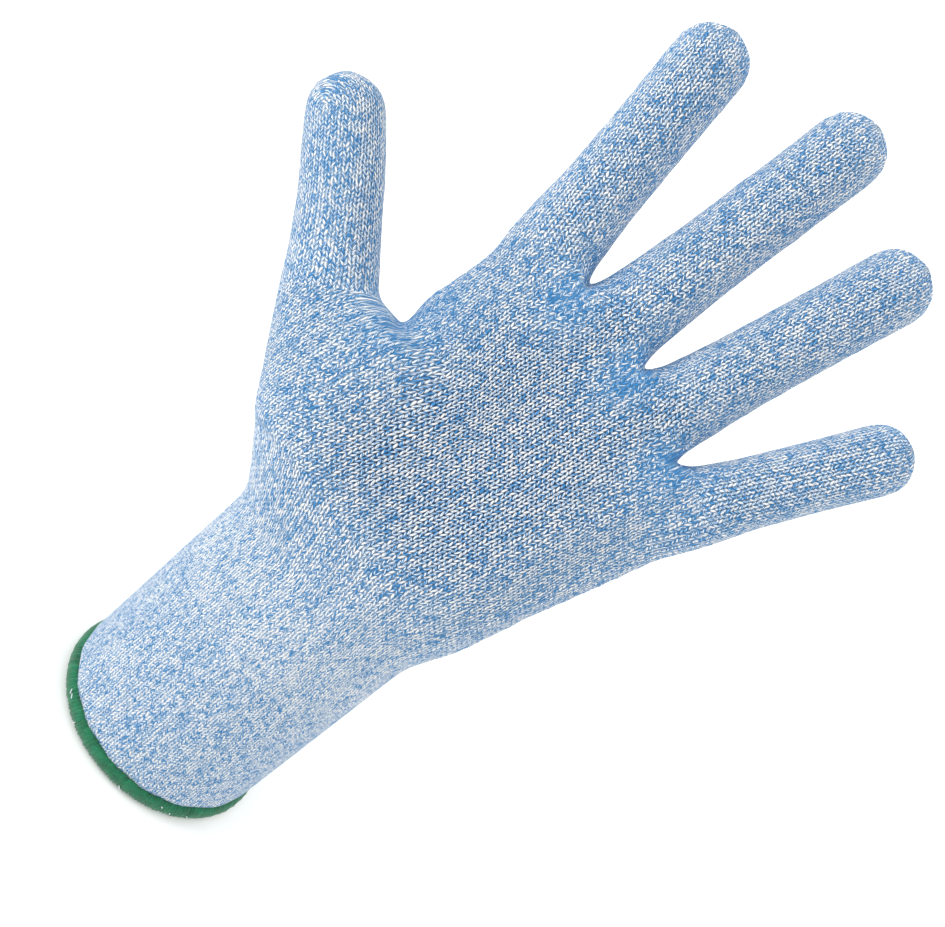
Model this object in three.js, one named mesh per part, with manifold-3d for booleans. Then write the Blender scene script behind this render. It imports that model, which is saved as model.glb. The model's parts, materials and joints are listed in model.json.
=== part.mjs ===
// A knitted cut-resistant glove, in the shape that it takes on a spread left hand.
// Millimetres. The cuff stands on its hem: +Z runs up the cuff, the palm faces -Y, the thumb is at -X,
// and the origin is the centre of the cuff's opening, in the plane of the hem's lower face.
import * as THREE from "three";
import { mergeVertices } from "three/addons/utils/BufferGeometryUtils.js";
import Module from "manifold-3d";

const wasm = await Module();
wasm.setup();

// ---------- driving dimensions ----------
const knitWall = 1.3; // stockinette fabric
const ribWall = 2.0; // ribbed cuff, with elastic in it
const seamGap = 0.3; // between zones that are one fabric
const sectionSides = 16; // facets round a sleeve
const foldSteps = 2; // rings up a fold

const wristLean = 38; // degrees that the hand is bent back at the wrist
const cuffLength = 82; // hem to wrist crease
const wristHalfWidth = 31.5;
const wristHalfDepth = 22;
const wristFoldHalf = 13.5; // the wrist fold reaches this far each way from the crease
const hemHalfWidth = 31;
const hemHalfDepth = 29;
const hemHeight = 4.6;
const hemBulge = 0.8; // the overlock stands this far out from the rib
const hemLip = 0.5; // and this far in
const cuffWaist = 0.6; // how far the rib draws in halfway up

const elasticRadius = 0.4;
const elasticPitch = 11;
const elasticGap = 0.8; // clear of the rib's inner facets
const elasticInset = 5; // first turn above the hem
const elasticStepsPerTurn = 20;

const heelHalfWidth = 41; // across the heel of the palm, just above the wrist fold
const heelHalfDepth = 20.5;
const heelShift = -4; // the heel lies this far towards the thumb
const palmHalfWidth = 44.7; // across the knuckles
const palmHalfDepth = 14.5;
const palmShift = 6.3; // the knuckles lie this far towards the little finger
const palmTop = 88; // wrist crease to the finger roots, along the palm
// The palm's middle and upper part, each at a share of the way from the wrist crease to the knuckle fold
// and a share of the knuckles' shift, narrower and deeper than the knuckles by some millimetres.
const midPalm = { at: 0.45, shift: 0, narrower: 2.7, deeper: 3.5 };
const upperPalm = { at: 0.75, shift: 0.6, narrower: 1.2, deeper: 1 };
const palmEnd = { shift: 3.2, wider: 1.6, thinner: 1.5 }; // at the finger roots, against the knuckles
const knuckleSlant = 0.2; // the knuckle line falls this much per mm towards the little finger
const knuckleFoldAt = 74; // wrist crease to the fold across the knuckles
const knuckleFoldHalf = 6.5;
const knuckleAxisDepth = 4; // fold axis, in front of the palm's mid-plane

const webLength = 2.4; // soft band that lets a digit swing sideways
const rootBandLength = 2.2;
const rootFoldLength = 4.4;
const axisDepthShare = 0.62; // a digit's fold axes lie this share of its half depth in front of its middle
const foldTurn = { pip: 47.5, dip: 33, ip: 35 }; // degrees: half of the turn that each fold makes room for
const foldRoom = 0.5; // spare length in each fold

// Each digit: root centre (x across, z up the palm), lean and roll in degrees, length from its root,
// half width where it leaves the palm, half width and half depth at root, middle and tip, and its folds,
// each with its distance from the root and its bend at rest in degrees.
const digits = {
  index: {
    root: [-27.6, 99.1], lean: -9.8, roll: 0, length: 72.6, web: true,
    baseHalfWidth: 12.8, halfWidth: [12.2, 10.5, 10.6], halfDepth: [10.6, 9.7, 9.0],
    folds: [["pip", 26, 7], ["dip", 48.5, 4]], rootBend: 4,
  },
  middle: {
    root: [-1.7, 101.5], lean: 3.0, roll: 0, length: 81.2, web: false,
    baseHalfWidth: 15, halfWidth: [11.6, 10.3, 10.3], halfDepth: [10.7, 9.7, 9.0],
    folds: [["pip", 30, 8], ["dip", 57, 5]], rootBend: 5,
  },
  ring: {
    root: [24.3, 96.8], lean: 10.9, roll: 0, length: 73.6, web: true,
    baseHalfWidth: 15, halfWidth: [11.4, 10.1, 10.2], halfDepth: [10.4, 9.5, 8.8],
    folds: [["pip", 25, 9], ["dip", 49, 5]], rootBend: 6,
  },
  little: {
    root: [47.9, 85.6], lean: 25, roll: 0, length: 56.2, web: true,
    baseHalfWidth: 10.8, halfWidth: [10.6, 9.3, 9.4], halfDepth: [9.8, 8.8, 8.2],
    folds: [["pip", 19.5, 9], ["dip", 36.5, 5]], rootBend: 7,
  },
  thumb: {
    root: [-57, 48.2], lean: -41, roll: 60, length: 59, web: true,
    baseHalfWidth: 18.5, halfWidth: [13.2, 11.4, 11.2], halfDepth: [12.8, 11.2, 10.4],
    folds: [["ip", 28, -4]], rootBend: -3,
  },
};
const thumbBaseReach = 45; // how far the thumb's tube runs down inside the palm's outline
const fingerBaseReach = 14;
// A digit narrows to its waist from this share of the way to its first fold, where it is still a little
// wider and deeper, to this share of its length.
const digitWaist = { from: 0.7, to: 0.55, wider: 0.2, deeper: 0.1 };

const colours = {
  knit: new THREE.Color(0.56, 0.68, 0.8),
  rib: new THREE.Color(0.68, 0.79, 0.89),
  overlock: new THREE.Color(0.02, 0.38, 0.19),
  elastic: new THREE.Color(0.9, 0.9, 0.88),
};

// ---------- solids ----------
const radians = THREE.MathUtils.degToRad;

function toManifold(geometry) {
  const bare = geometry.clone();
  bare.deleteAttribute("normal");
  bare.deleteAttribute("uv");
  const merged = mergeVertices(bare, 1e-4);
  return new wasm.Manifold(
    new wasm.Mesh({
      numProp: 3,
      vertProperties: new Float32Array(merged.attributes.position.array),
      triVerts: new Uint32Array(merged.index.array),
    }),
  );
}

function toGeometry(manifold) {
  const mesh = manifold.getMesh();
  const geometry = new THREE.BufferGeometry();
  geometry.setAttribute("position", new THREE.BufferAttribute(new Float32Array(mesh.vertProperties), 3));
  geometry.setIndex(new THREE.BufferAttribute(new Uint32Array(mesh.triVerts), 1));
  geometry.computeVertexNormals();
  return geometry;
}

// A closed column along +Z between two heights: a lathed rod of radius 1, with each ring sized by section(z)
// and then put in its place by place(point, z).
function column(section, from, to, steps, place = () => {}) {
  const profile = [new THREE.Vector2(0, from)];
  for (let i = 0; i <= steps; i++) {
    profile.push(new THREE.Vector2(1, THREE.MathUtils.lerp(from, to, i / steps)));
  }
  profile.push(new THREE.Vector2(0, to));
  const geometry = new THREE.LatheGeometry(profile, sectionSides);
  geometry.rotateX(Math.PI / 2);
  const spots = geometry.attributes.position;
  const spot = new THREE.Vector3();
  for (let i = 0; i < spots.count; i++) {
    spot.fromBufferAttribute(spots, i);
    const z = spot.z;
    const size = section(z);
    spot.x = size.x + spot.x * size.halfWidth;
    spot.y *= size.halfDepth;
    spot.z += (size.slant ?? 0) * (spot.x - size.x);
    place(spot, z);
    spots.setXYZ(i, spot.x, spot.y, spot.z);
  }
  return toManifold(geometry);
}

// The fabric between an outer and an inner column, with the inner one run out past both ends.
function sleeve(section, wall, from, to, steps) {
  const outer = column((z) => section(z, 0), from, to, steps);
  const inner = column((z) => section(z, -wall), from - 1, to + 1, steps);
  return outer.subtract(inner);
}

function move(solid, matrix) {
  return solid.transform(matrix.elements);
}

// A fold in a tube, bent at rest about an axis in X through (axisY, at): the middle line runs straight up
// to the fold, round an arc that touches both straight stretches, and straight on from it.
function foldSleeve(section, wall, half, at, axisY, bend) {
  const angle = radians(bend);
  const tangent = half - axisY * Math.tan(angle / 2);
  const radius = tangent / Math.tan(angle / 2);
  const place = (spot, z) => {
    const share = THREE.MathUtils.clamp((z - at + half) / (2 * half), 0, 1);
    const turn = share * angle;
    const along = spot.z - z + Math.min(0, z - at + half) + Math.max(0, z - at - half);
    const y = spot.y;
    spot.y = -radius * (1 - Math.cos(turn)) + y * Math.cos(turn) - along * Math.sin(turn);
    spot.z = at - half + radius * Math.sin(turn) + y * Math.sin(turn) + along * Math.cos(turn);
  };
  const outer = column((z) => section(z, 0), at - half, at + half, foldSteps, place);
  const inner = column((z) => section(z, -wall), at - half - 1, at + half + 1, foldSteps + 1, place);
  return outer.subtract(inner);
}

function smoothBetween(stations, z) {
  const last = stations.length - 1;
  if (z <= stations[0][0]) return stations[0].slice(1);
  if (z >= stations[last][0]) return stations[last].slice(1);
  const i = stations.findIndex((s) => s[0] > z);
  const share = (z - stations[i - 1][0]) / (stations[i][0] - stations[i - 1][0]);
  const eased = THREE.MathUtils.lerp(share, share * share * (3 - 2 * share), 0.5);
  return stations[i].slice(1).map((v, k) => THREE.MathUtils.lerp(stations[i - 1][k + 1], v, eased));
}

// ---------- sections: a tube's centre, half width and half depth at height z, grown outwards ----------
function cuffSection(z, grow) {
  const midWidth = (hemHalfWidth + wristHalfWidth) / 2 - cuffWaist;
  const midDepth = (hemHalfDepth + wristHalfDepth) / 2 - cuffWaist;
  const [halfWidth, halfDepth] = smoothBetween(
    [
      [0, hemHalfWidth, hemHalfDepth],
      [cuffLength / 2, midWidth, midDepth],
      [cuffLength, wristHalfWidth, wristHalfDepth],
    ],
    z,
  );
  return { x: 0, halfWidth: halfWidth + grow, halfDepth: halfDepth + grow };
}

function palmSection(z, grow) {
  const below = (part, slant) => [
    part.at * knuckleFoldAt,
    part.shift * palmShift,
    palmHalfWidth - part.narrower,
    palmHalfDepth + part.deeper,
    slant,
  ];
  const endHalfDepth = palmHalfDepth - palmEnd.thinner;
  const [x, halfWidth, halfDepth, slant] = smoothBetween(
    [
      [0, 0, wristHalfWidth, wristHalfDepth, 0],
      [wristFoldHalf, heelShift, heelHalfWidth, heelHalfDepth, 0],
      below(midPalm, 0),
      below(upperPalm, -knuckleSlant / 2),
      [knuckleFoldAt, palmShift, palmHalfWidth, palmHalfDepth, -knuckleSlant],
      [palmTop, palmShift + palmEnd.shift, palmHalfWidth + palmEnd.wider, endHalfDepth, -knuckleSlant],
    ],
    z,
  );
  return { x, halfWidth: halfWidth + grow, halfDepth: halfDepth + grow, slant };
}

function digitSection(digit, z, grow) {
  const { length, halfWidth, halfDepth } = digit;
  const dome = halfWidth[2];
  const waistFrom = digitWaist.from * digit.folds[0][1];
  const [w, d] = smoothBetween(
    [
      [0, halfWidth[0], halfDepth[0]],
      [waistFrom, halfWidth[1] + digitWaist.wider, halfDepth[1] + digitWaist.deeper],
      [digitWaist.to * length, halfWidth[1], halfDepth[1]],
      [length - dome, halfWidth[2], halfDepth[2]],
    ],
    z,
  );
  const past = Math.max(0, z - (length - dome)) / (dome + grow);
  const round = Math.sqrt(Math.max(0.01, 1 - past * past));
  return { x: 0, halfWidth: (w + grow) * round, halfDepth: (d + grow) * round };
}

// ---------- the assembly ----------
const glove = new THREE.Group();

function addMesh(parent, name, solid, colour, roughness = 0.9) {
  const material = new THREE.MeshStandardMaterial({ color: colour, roughness, metalness: 0 });
  const mesh = new THREE.Mesh(toGeometry(solid), material);
  mesh.name = name;
  parent.add(mesh);
  return mesh;
}

// A group whose content keeps its parent's coordinates, turned by some degrees about an axis in X.
function addFoldGroup(parent, name, y, z, degrees) {
  const axis = new THREE.Group();
  axis.name = name;
  axis.position.set(0, y, z);
  axis.rotation.x = radians(degrees);
  parent.add(axis);
  const content = new THREE.Group();
  content.position.set(0, -y, -z);
  axis.add(content);
  return content;
}

// A slab across the palm on the slanted knuckle line, from one distance above the fold to another.
function knuckleSlab(from, to) {
  const box = new THREE.BoxGeometry(300, 120, to - from);
  box.translate(0, 0, (from + to) / 2);
  box.rotateY(Math.atan(knuckleSlant));
  box.translate(palmShift, 0, knuckleFoldAt);
  return toManifold(box);
}

function digitMatrix(digit) {
  return new THREE.Matrix4()
    .makeTranslation(digit.root[0], 0, digit.root[1])
    .multiply(new THREE.Matrix4().makeRotationY(radians(digit.lean)))
    .multiply(new THREE.Matrix4().makeRotationZ(radians(digit.roll)));
}

function hemOverlock() {
  const bulge = (z) => hemBulge * Math.sin(Math.PI * (0.12 + (0.76 * z) / hemHeight));
  const lip = (z) => hemLip * Math.sin(Math.PI * THREE.MathUtils.clamp(z / hemHeight, 0, 1));
  const outer = column((z) => cuffSection(0, bulge(z)), 0, hemHeight, 6);
  const inner = column((z) => cuffSection(0, -ribWall - lip(z)), -1, hemHeight + 1, 8);
  return outer.subtract(inner);
}

// The covered elastic, laid in a spiral on the rib's inner face.
class ElasticPath extends THREE.Curve {
  constructor(from, turns) {
    super();
    this.from = from;
    this.turns = turns;
  }
  getPoint(t, target = new THREE.Vector3()) {
    const z = this.from + t * this.turns * elasticPitch;
    const size = cuffSection(z, -ribWall - elasticGap - elasticRadius);
    const angle = t * this.turns * 2 * Math.PI;
    return target.set(Math.cos(angle) * size.halfWidth, Math.sin(angle) * size.halfDepth, z);
  }
}

function cuffElastic() {
  const from = hemHeight + elasticInset;
  const turns = Math.floor((cuffLength - wristFoldHalf - from) / elasticPitch);
  const section = new THREE.Shape().absarc(0, 0, elasticRadius, 0, 2 * Math.PI);
  const path = new ElasticPath(from, turns);
  const options = { extrudePath: path, steps: turns * elasticStepsPerTurn, curveSegments: 3 };
  const geometry = new THREE.ExtrudeGeometry(section, options);
  return toManifold(geometry);
}

const cuffTop = cuffLength - wristFoldHalf;
addMesh(glove, "hem_overlock", hemOverlock(), colours.overlock);
addMesh(glove, "cuff_rib", sleeve(cuffSection, ribWall, hemHeight + seamGap, cuffTop, 5), colours.rib);
addMesh(glove, "cuff_elastic_yarn", cuffElastic(), colours.elastic, 0.6);
const wristSection = (z, grow) => (z < cuffLength ? cuffSection(z, grow) : palmSection(z - cuffLength, grow));
const wristFold = foldSleeve(wristSection, knitWall, wristFoldHalf - seamGap, cuffLength, 0, -wristLean);
addMesh(glove, "wrist_fold", wristFold, colours.knit);

const hand = new THREE.Group();
hand.name = "wrist_flexion";
hand.position.set(0, 0, cuffLength);
hand.rotation.x = radians(-wristLean);
glove.add(hand);

// The palm's outer and inner columns. The inner one stops a wall short of the finger end.
const palmOuter = column((z) => palmSection(z, 0), wristFoldHalf, palmTop, 7);
const palmInner = column((z) => palmSection(z, -knitWall), wristFoldHalf - 1, palmTop - knitWall, 7);

// A digit's column below its root, where it merges with the palm.
function digitBase(digit, grow, reach) {
  const section = (z) => {
    const root = digitSection(digit, 0, grow);
    const share = THREE.MathUtils.clamp(-z / reach, 0, 1);
    return { ...root, halfWidth: THREE.MathUtils.lerp(root.halfWidth, digit.baseHalfWidth + grow, share) };
  };
  const past = grow < 0 ? 1 : 0;
  return move(column(section, -reach - grow, past, 2), digitMatrix(digit));
}

const thumbOuter = digitBase(digits.thumb, 0, thumbBaseReach);
const thumbInner = digitBase(digits.thumb, -knitWall, thumbBaseReach);
const aboveWrist = toManifold(new THREE.BoxGeometry(300, 120, 300).translate(0, 0, wristFoldHalf + 150));
const palmMain = palmOuter
  .add(thumbOuter)
  .subtract(palmInner.add(thumbInner))
  .intersect(aboveWrist)
  .intersect(knuckleSlab(-knuckleFoldAt * 2, -knuckleFoldHalf));
addMesh(hand, "palm_main", palmMain, colours.knit);
const knuckleFold = palmOuter
  .subtract(palmInner)
  .intersect(knuckleSlab(-knuckleFoldHalf + seamGap, knuckleFoldHalf - seamGap));
addMesh(hand, "knuckle_fold_band", knuckleFold, colours.knit);

const knuckles = new THREE.Group();
knuckles.name = "knuckle_fold";
knuckles.position.set(palmShift, -knuckleAxisDepth, knuckleFoldAt);
knuckles.rotation.y = Math.atan(knuckleSlant);
hand.add(knuckles);
const upperHand = new THREE.Group();
upperHand.matrixAutoUpdate = false;
knuckles.updateMatrix();
upperHand.matrix.copy(knuckles.matrix).invert();
knuckles.add(upperHand);

const fingers = Object.entries(digits).filter(([name]) => name !== "thumb");
let upperOuter = palmOuter;
let upperInner = palmInner;
for (const [, finger] of fingers) {
  upperOuter = upperOuter.add(digitBase(finger, 0, fingerBaseReach));
  upperInner = upperInner.add(digitBase(finger, -knitWall, fingerBaseReach));
}
const palmUpper = upperOuter.subtract(upperInner).intersect(knuckleSlab(knuckleFoldHalf, palmTop));
addMesh(upperHand, "palm_upper", palmUpper, colours.knit);

// One digit: sideways web, root band, root fold, then a sleeve and a fold for each finger joint, and the tip.
function addDigit(name, digit, parent) {
  const section = (z, grow) => digitSection(digit, z, grow);
  const axisY = -axisDepthShare * digit.halfDepth[1];
  const piece = (from, to, steps) => sleeve(section, knitWall, from, to, steps);
  let content = new THREE.Group();
  content.applyMatrix4(digitMatrix(digit));
  parent.add(content);
  let z = seamGap;

  if (digit.web) {
    addMesh(content, `${name}_web`, piece(z, z + webLength, 1), colours.knit);
    z += webLength;
    const swing = new THREE.Group();
    swing.name = `${name}_swing`;
    swing.position.set(0, 0, z - webLength / 2);
    content.add(swing);
    const held = new THREE.Group();
    held.position.set(0, 0, -swing.position.z);
    swing.add(held);
    content = held;
    addMesh(content, `${name}_root_band`, piece(z + seamGap, z + seamGap + rootBandLength, 1), colours.knit);
    z += 2 * seamGap + rootBandLength;
  }

  const bends = [["root", z + rootFoldLength / 2, digit.rootBend, rootFoldLength / 2]];
  for (const [fold, at, bend] of digit.folds) {
    const depth = (1 - axisDepthShare) * digitSection(digit, at, 0).halfDepth;
    bends.push([fold, at, bend, depth * Math.tan(radians(foldTurn[fold])) + foldRoom]);
  }
  const sleeveNames = digit.folds.length === 2 ? ["proximal", "middle"] : ["proximal"];
  bends.forEach(([fold, at, bend, half], i) => {
    const ring = foldSleeve(section, knitWall, half, at, axisY, bend);
    addMesh(content, `${name}_${fold}_fold`, ring, colours.knit);
    content = addFoldGroup(content, `${name}_${fold}`, axisY, at, bend);
    const from = at + half + seamGap;
    if (i < bends.length - 1) {
      const to = bends[i + 1][1] - bends[i + 1][3] - seamGap;
      addMesh(content, `${name}_${sleeveNames[i]}_sleeve`, piece(from, to, 1), colours.knit);
    } else {
      const outer = column((s) => section(s, 0), from, digit.length, 7);
      const inner = column((s) => section(s, -knitWall), from - 1, digit.length - knitWall, 6);
      addMesh(content, `${name}_tip`, outer.subtract(inner), colours.knit);
    }
  });
}

for (const [name, finger] of fingers) addDigit(name, finger, upperHand);
addDigit("thumb", digits.thumb, hand);

export default glove;
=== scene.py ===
import bpy
import json
import math
import numpy as np
from mathutils import Matrix, Vector


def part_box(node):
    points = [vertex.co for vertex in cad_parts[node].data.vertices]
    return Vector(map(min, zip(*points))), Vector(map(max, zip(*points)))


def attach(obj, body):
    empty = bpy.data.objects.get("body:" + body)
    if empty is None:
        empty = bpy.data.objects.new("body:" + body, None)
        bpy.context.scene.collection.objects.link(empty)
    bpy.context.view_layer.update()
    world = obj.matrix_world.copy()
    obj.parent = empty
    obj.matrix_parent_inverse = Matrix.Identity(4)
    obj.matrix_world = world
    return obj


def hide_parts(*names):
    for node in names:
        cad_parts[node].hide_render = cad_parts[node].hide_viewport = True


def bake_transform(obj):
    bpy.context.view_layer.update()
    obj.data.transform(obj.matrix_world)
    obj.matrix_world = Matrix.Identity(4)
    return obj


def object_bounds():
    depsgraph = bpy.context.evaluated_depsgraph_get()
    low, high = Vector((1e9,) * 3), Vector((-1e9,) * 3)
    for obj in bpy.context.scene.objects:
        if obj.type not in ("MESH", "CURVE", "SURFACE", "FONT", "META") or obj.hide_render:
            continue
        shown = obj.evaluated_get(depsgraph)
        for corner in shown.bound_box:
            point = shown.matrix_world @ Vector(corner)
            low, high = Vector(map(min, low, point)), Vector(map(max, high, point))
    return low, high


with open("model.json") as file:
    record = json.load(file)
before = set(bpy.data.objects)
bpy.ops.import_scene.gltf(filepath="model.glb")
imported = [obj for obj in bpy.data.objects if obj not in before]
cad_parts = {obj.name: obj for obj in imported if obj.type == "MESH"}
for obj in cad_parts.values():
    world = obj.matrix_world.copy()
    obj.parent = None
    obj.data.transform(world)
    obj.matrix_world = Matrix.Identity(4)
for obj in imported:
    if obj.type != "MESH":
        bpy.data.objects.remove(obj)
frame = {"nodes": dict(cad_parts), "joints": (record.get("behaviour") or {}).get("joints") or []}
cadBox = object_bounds()
nodes = frame["nodes"]
joints = {j["name"]: j for j in frame["joints"]}

rng = np.random.default_rng(7)  # every small irregularity comes from here

print("glove: the hand's own axes")


def jointAt(name):
    return Vector(joints[name]["pos_m"])


def jointAxis(name):
    return Vector(joints[name]["axis"]).normalized()


across = jointAxis("wrist_flexion")  # towards the little finger
backward = jointAxis("index_swing")  # out of the back of the hand
upHand = across.cross(backward).normalized()  # from the wrist to the fingers
wristAt = jointAt("wrist_flexion")


def handPoint(x, y, z):  # millimetres across, out of the back, and up from the wrist
    return wristAt + (across * x + backward * y + upHand * z) * 0.001


def toHand(points):  # the same, the other way, for many points
    away = np.asarray(points) - np.array(wristAt)
    return away @ np.array([across, backward, upHand]).T * 1000


def nodeMiddle(name):
    spots = np.array([v.co for v in nodes[name].data.vertices])
    return Vector(spots.mean(axis=0))


print("glove: camera, floor and light")

studio = {
    "lens": 100,
    "sensor": 36,
    "distance": 0.683,
    "aim": (1.5, 0, 48),  # on the palm, in the hand's millimetres
    "roll": 40,  # degrees above level that the fingers point
    "floorSize": 16,
    "floorGlow": 0.15,
    "backdrop": 1.0,
    "skyLight": 0.92,
    "keyWatts": 7.5,
    "fillWatts": 1.6,
    "backWatts": 3.5,
}


def addCamera():
    data = bpy.data.cameras.new("camera")
    data.lens = studio["lens"]
    data.sensor_width = studio["sensor"]
    camera = bpy.data.objects.new("camera", data)
    bpy.context.scene.collection.objects.link(camera)
    aim = handPoint(*studio["aim"])
    roll = math.radians(studio["roll"])
    right = across * math.sin(roll) + upHand * math.cos(roll)
    up = upHand * math.sin(roll) - across * math.cos(roll)
    turn = Matrix((right, up, -backward)).transposed().to_4x4()
    camera.matrix_world = Matrix.Translation(aim - backward * studio["distance"]) @ turn
    data.clip_start, data.clip_end = 0.05, 50
    bpy.context.scene.camera = camera
    return camera


def addAreaLight(name, place, size, watts, colour=(1, 1, 1)):
    data = bpy.data.lights.new(name, "AREA")
    data.shape = "DISK"
    data.size = size
    data.energy = watts
    data.color = colour
    light = bpy.data.objects.new(name, data)
    bpy.context.scene.collection.objects.link(light)
    light.location = place
    light.rotation_mode = "QUATERNION"
    light.rotation_quaternion = (handPoint(0, 0, 40) - Vector(place)).to_track_quat("-Z", "Y")
    return light


def addStudio():
    camera = addCamera()
    eye = camera.matrix_world.translation
    right = camera.matrix_world.col[0].xyz
    up = camera.matrix_world.col[1].xyz
    addAreaLight("keyLight", eye + up * 0.9 - right * 0.6, 0.7, studio["keyWatts"])
    addAreaLight("fillLight", eye + right * 0.9 - up * 0.2, 1.0, studio["fillWatts"])
    addAreaLight("backLight", handPoint(150, 300, 1200), 1.0, studio["backWatts"])
    world = bpy.data.worlds.new("studioWorld")
    bpy.context.scene.world = world
    world.use_nodes = True
    tree = world.node_tree
    background = tree.nodes["Background"]
    background.inputs["Color"].default_value = (1, 1, 1, 1)
    seen = tree.nodes.new("ShaderNodeLightPath").outputs["Is Camera Ray"]
    strength = tree.nodes.new("ShaderNodeMapRange")
    strength.inputs["To Min"].default_value = studio["skyLight"]
    strength.inputs["To Max"].default_value = studio["backdrop"]
    tree.links.new(seen, strength.inputs["Value"])
    tree.links.new(strength.outputs["Result"], background.inputs["Strength"])
    bpy.ops.object.select_all(action="DESELECT")
    floorAt = (0, 0, cadBox[0].z - 0.0005)
    bpy.ops.mesh.primitive_plane_add(size=studio["floorSize"], location=floorAt)
    floor = bpy.context.object
    floor.name = "floor"
    paint = bpy.data.materials.new("paleFloor")
    paint.use_nodes = True
    shader = paint.node_tree.nodes["Principled BSDF"]
    shader.inputs["Base Color"].default_value = (0.93, 0.93, 0.93, 1)
    shader.inputs["Roughness"].default_value = 0.9
    shader.inputs["Emission Color"].default_value = (1, 1, 1, 1)
    shader.inputs["Emission Strength"].default_value = studio["floorGlow"]
    floor.data.materials.append(paint)


bpy.context.scene.view_settings.view_transform = "Standard"
addStudio()

print("glove: materials")


def link(tree, source, socket):
    tree.links.new(source, socket)


def mathNode(tree, operation, first, second=None, third=None, clamp=False):
    node = tree.nodes.new("ShaderNodeMath")
    node.operation = operation
    node.use_clamp = clamp
    for i, value in enumerate((first, second, third)):
        if value is None:
            continue
        if isinstance(value, (int, float)):
            node.inputs[i].default_value = value
        else:
            link(tree, value, node.inputs[i])
    return node.outputs[0]


def smoothStep(tree, value, low, high):
    node = tree.nodes.new("ShaderNodeMapRange")
    node.interpolation_type = "SMOOTHSTEP"
    node.inputs["From Min"].default_value = low
    node.inputs["From Max"].default_value = high
    link(tree, value, node.inputs["Value"])
    return node.outputs["Result"]


def joinXyz(tree, x, y, z=0.0):
    node = tree.nodes.new("ShaderNodeCombineXYZ")
    for i, value in enumerate((x, y, z)):
        if isinstance(value, (int, float)):
            node.inputs[i].default_value = value
        else:
            link(tree, value, node.inputs[i])
    return node.outputs[0]


def noiseNode(tree, vector, scale, detail=2.0, roughness=0.5):
    node = tree.nodes.new("ShaderNodeTexNoise")
    node.inputs["Scale"].default_value = scale
    node.inputs["Detail"].default_value = detail
    node.inputs["Roughness"].default_value = roughness
    link(tree, vector, node.inputs["Vector"])
    return node.outputs[0]


def randomNode(tree, vector):
    node = tree.nodes.new("ShaderNodeTexWhiteNoise")
    node.noise_dimensions = "3D"
    link(tree, vector, node.inputs["Vector"])
    return node.outputs["Value"]


def rampNode(tree, value, stops):
    node = tree.nodes.new("ShaderNodeValToRGB")
    ramp = node.color_ramp
    while len(ramp.elements) < len(stops):
        ramp.elements.new(0.5)
    for element, (place, colour) in zip(ramp.elements, stops):
        element.position = place
        element.color = (*colour, 1)
    link(tree, value, node.inputs[0])
    return node.outputs["Color"]


def mixColour(tree, share, first, second):
    node = tree.nodes.new("ShaderNodeMix")
    node.data_type = "RGBA"
    for i, value in ((0, share), (6, first), (7, second)):
        if isinstance(value, (int, float)):
            node.inputs[i].default_value = value
        elif isinstance(value, tuple):
            node.inputs[i].default_value = (*value, 1)
        else:
            link(tree, value, node.inputs[i])
    return node.outputs[2]


yarn = {
    "blue": (0.034, 0.24, 0.57),
    "midBlue": (0.19, 0.42, 0.70),
    "paleBlue": (0.52, 0.69, 0.86),
    "white": (0.93, 0.94, 0.95),
    # painted shade: the next two colours darken the gaps between loops, standing for the shadow seen into
    # them
    "hollow": (0.008, 0.026, 0.07),  # seen between stretched loops
    "grooveShade": (0.07, 0.25, 0.50),  # seen between closed loops
    "legSlant": 0.85,  # courses that a leg climbs over half a wale
}


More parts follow.
